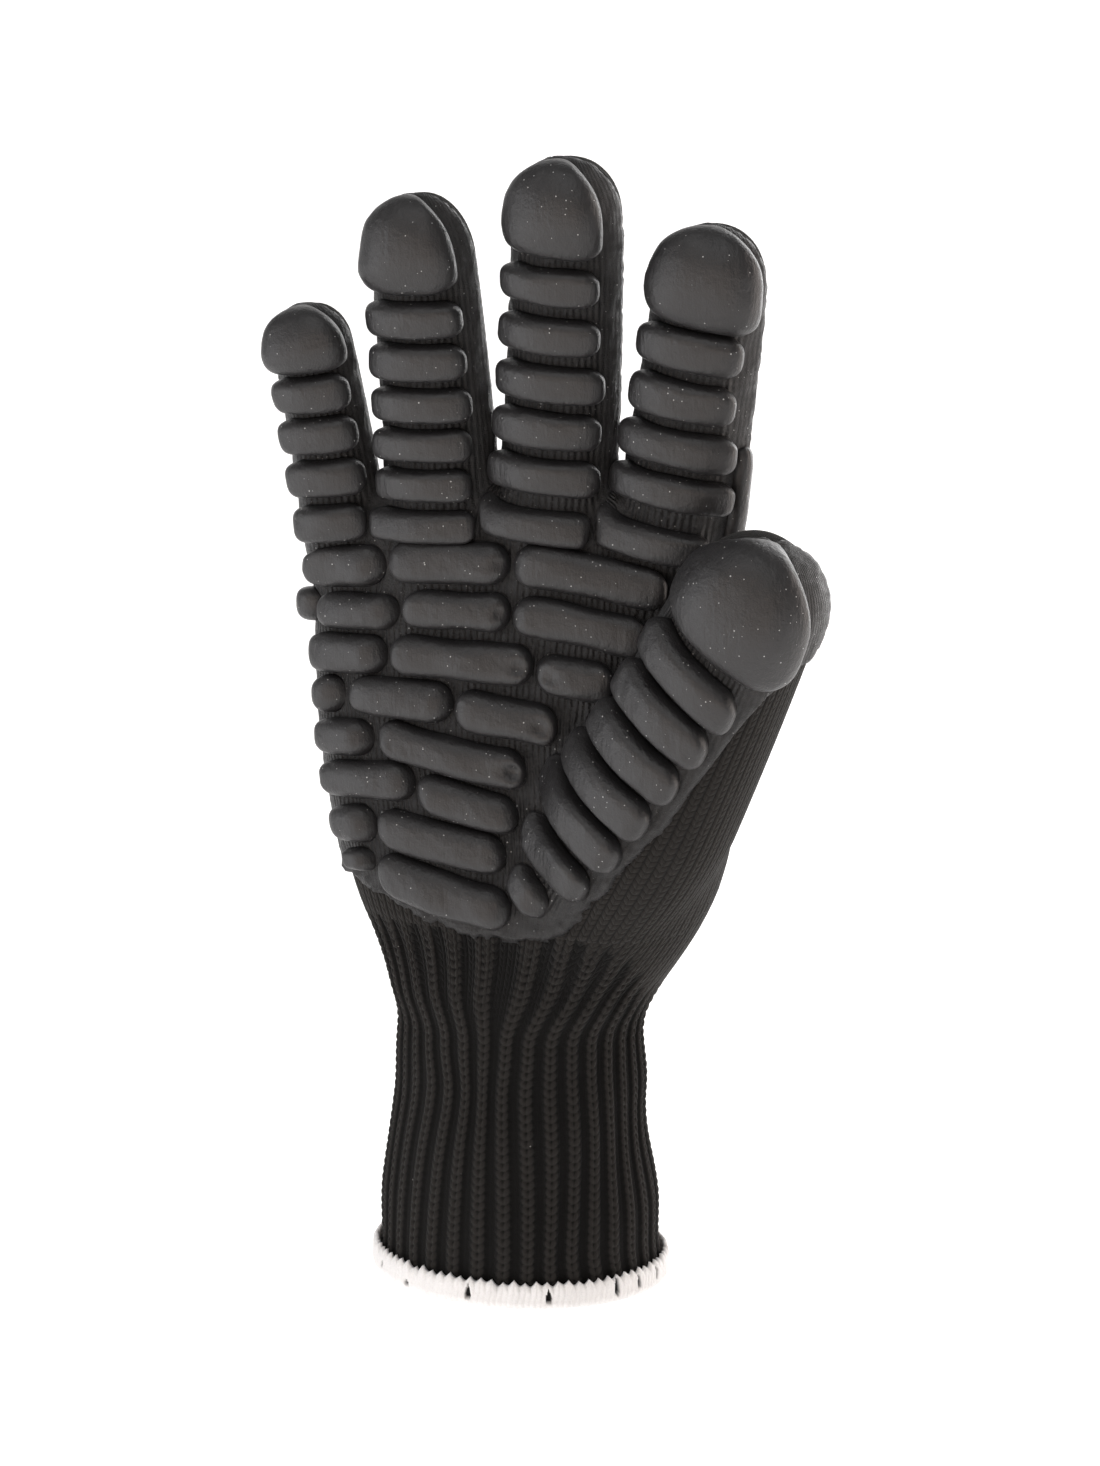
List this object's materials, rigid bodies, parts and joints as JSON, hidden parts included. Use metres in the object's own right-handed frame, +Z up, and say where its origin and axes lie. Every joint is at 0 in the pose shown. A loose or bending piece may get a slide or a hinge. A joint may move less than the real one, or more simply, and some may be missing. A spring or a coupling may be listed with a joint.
{
  "type": "anti vibration glove",
  "caption": "Right-hand knitted work glove with a rubber-coated palm, raised foam pads across the palm and fingers, and a ribbed cuff with a white hem.",
  "frame": {"origin": "middle of the cuff's mouth, at the lower face of the hem", "axes": "+Z up through the cuff towards the fingertips, -Y out of the palm, +X towards the thumb"},
  "size_m": [0.1338, 0.0761, 0.2689],
  "materials": {
    "knit": "matte black knit of fine yarn, ribbed at the cuff",
    "coat": "thin wrinkled black rubber with small glints",
    "foam_pad": "matte charcoal foam rubber with a soft sheen and fine pale specks",
    "hem_thread": "white overlock stitching"
  },
  "bodies": {
    "root": {"hem": "hem_thread", "knit_hand": "knit", "pad_index_1": "foam_pad", "pad_index_2": "foam_pad", "pad_index_3": "foam_pad", "pad_index_4": "foam_pad", "pad_index_5": "foam_pad", "pad_index_side": "foam_pad", "pad_index_tip": "foam_pad", "pad_little_1": "foam_pad", "pad_little_2": "foam_pad", "pad_little_3": "foam_pad", "pad_little_4": "foam_pad", "pad_little_tip": "foam_pad", "pad_middle_1": "foam_pad", "pad_middle_2": "foam_pad", "pad_middle_3": "foam_pad", "pad_middle_4": "foam_pad", "pad_middle_5": "foam_pad", "pad_middle_6": "foam_pad", "pad_middle_tip": "foam_pad", "pad_palm_a1": "foam_pad", "pad_palm_a2": "foam_pad", "pad_palm_a3": "foam_pad", "pad_palm_b1": "foam_pad", "pad_palm_b2": "foam_pad", "pad_palm_b3": "foam_pad", "pad_palm_b4": "foam_pad", "pad_palm_c1": "foam_pad", "pad_palm_c2": "foam_pad", "pad_palm_c3": "foam_pad", "pad_palm_d1": "foam_pad", "pad_palm_d2": "foam_pad", "pad_palm_d3": "foam_pad", "pad_palm_e1": "foam_pad", "pad_palm_e2": "foam_pad", "pad_palm_f1": "foam_pad", "pad_palm_f2": "foam_pad", "pad_palm_g1": "foam_pad", "pad_palm_g2": "foam_pad", "pad_palm_h1": "foam_pad", "pad_palm_h2": "foam_pad", "pad_ring_1": "foam_pad", "pad_ring_2": "foam_pad", "pad_ring_3": "foam_pad", "pad_ring_4": "foam_pad", "pad_ring_5": "foam_pad", "pad_ring_6": "foam_pad", "pad_ring_tip": "foam_pad", "pad_thumb_1": "foam_pad", "pad_thumb_2": "foam_pad", "pad_thumb_3": "foam_pad", "pad_thumb_4": "foam_pad", "pad_thumb_5": "foam_pad", "pad_thumb_6": "foam_pad", "pad_thumb_7": "foam_pad", "pad_thumb_tip": "foam_pad", "rib_cuff": "knit", "rubber_coat": "coat"}
  },
  "joints": []
}
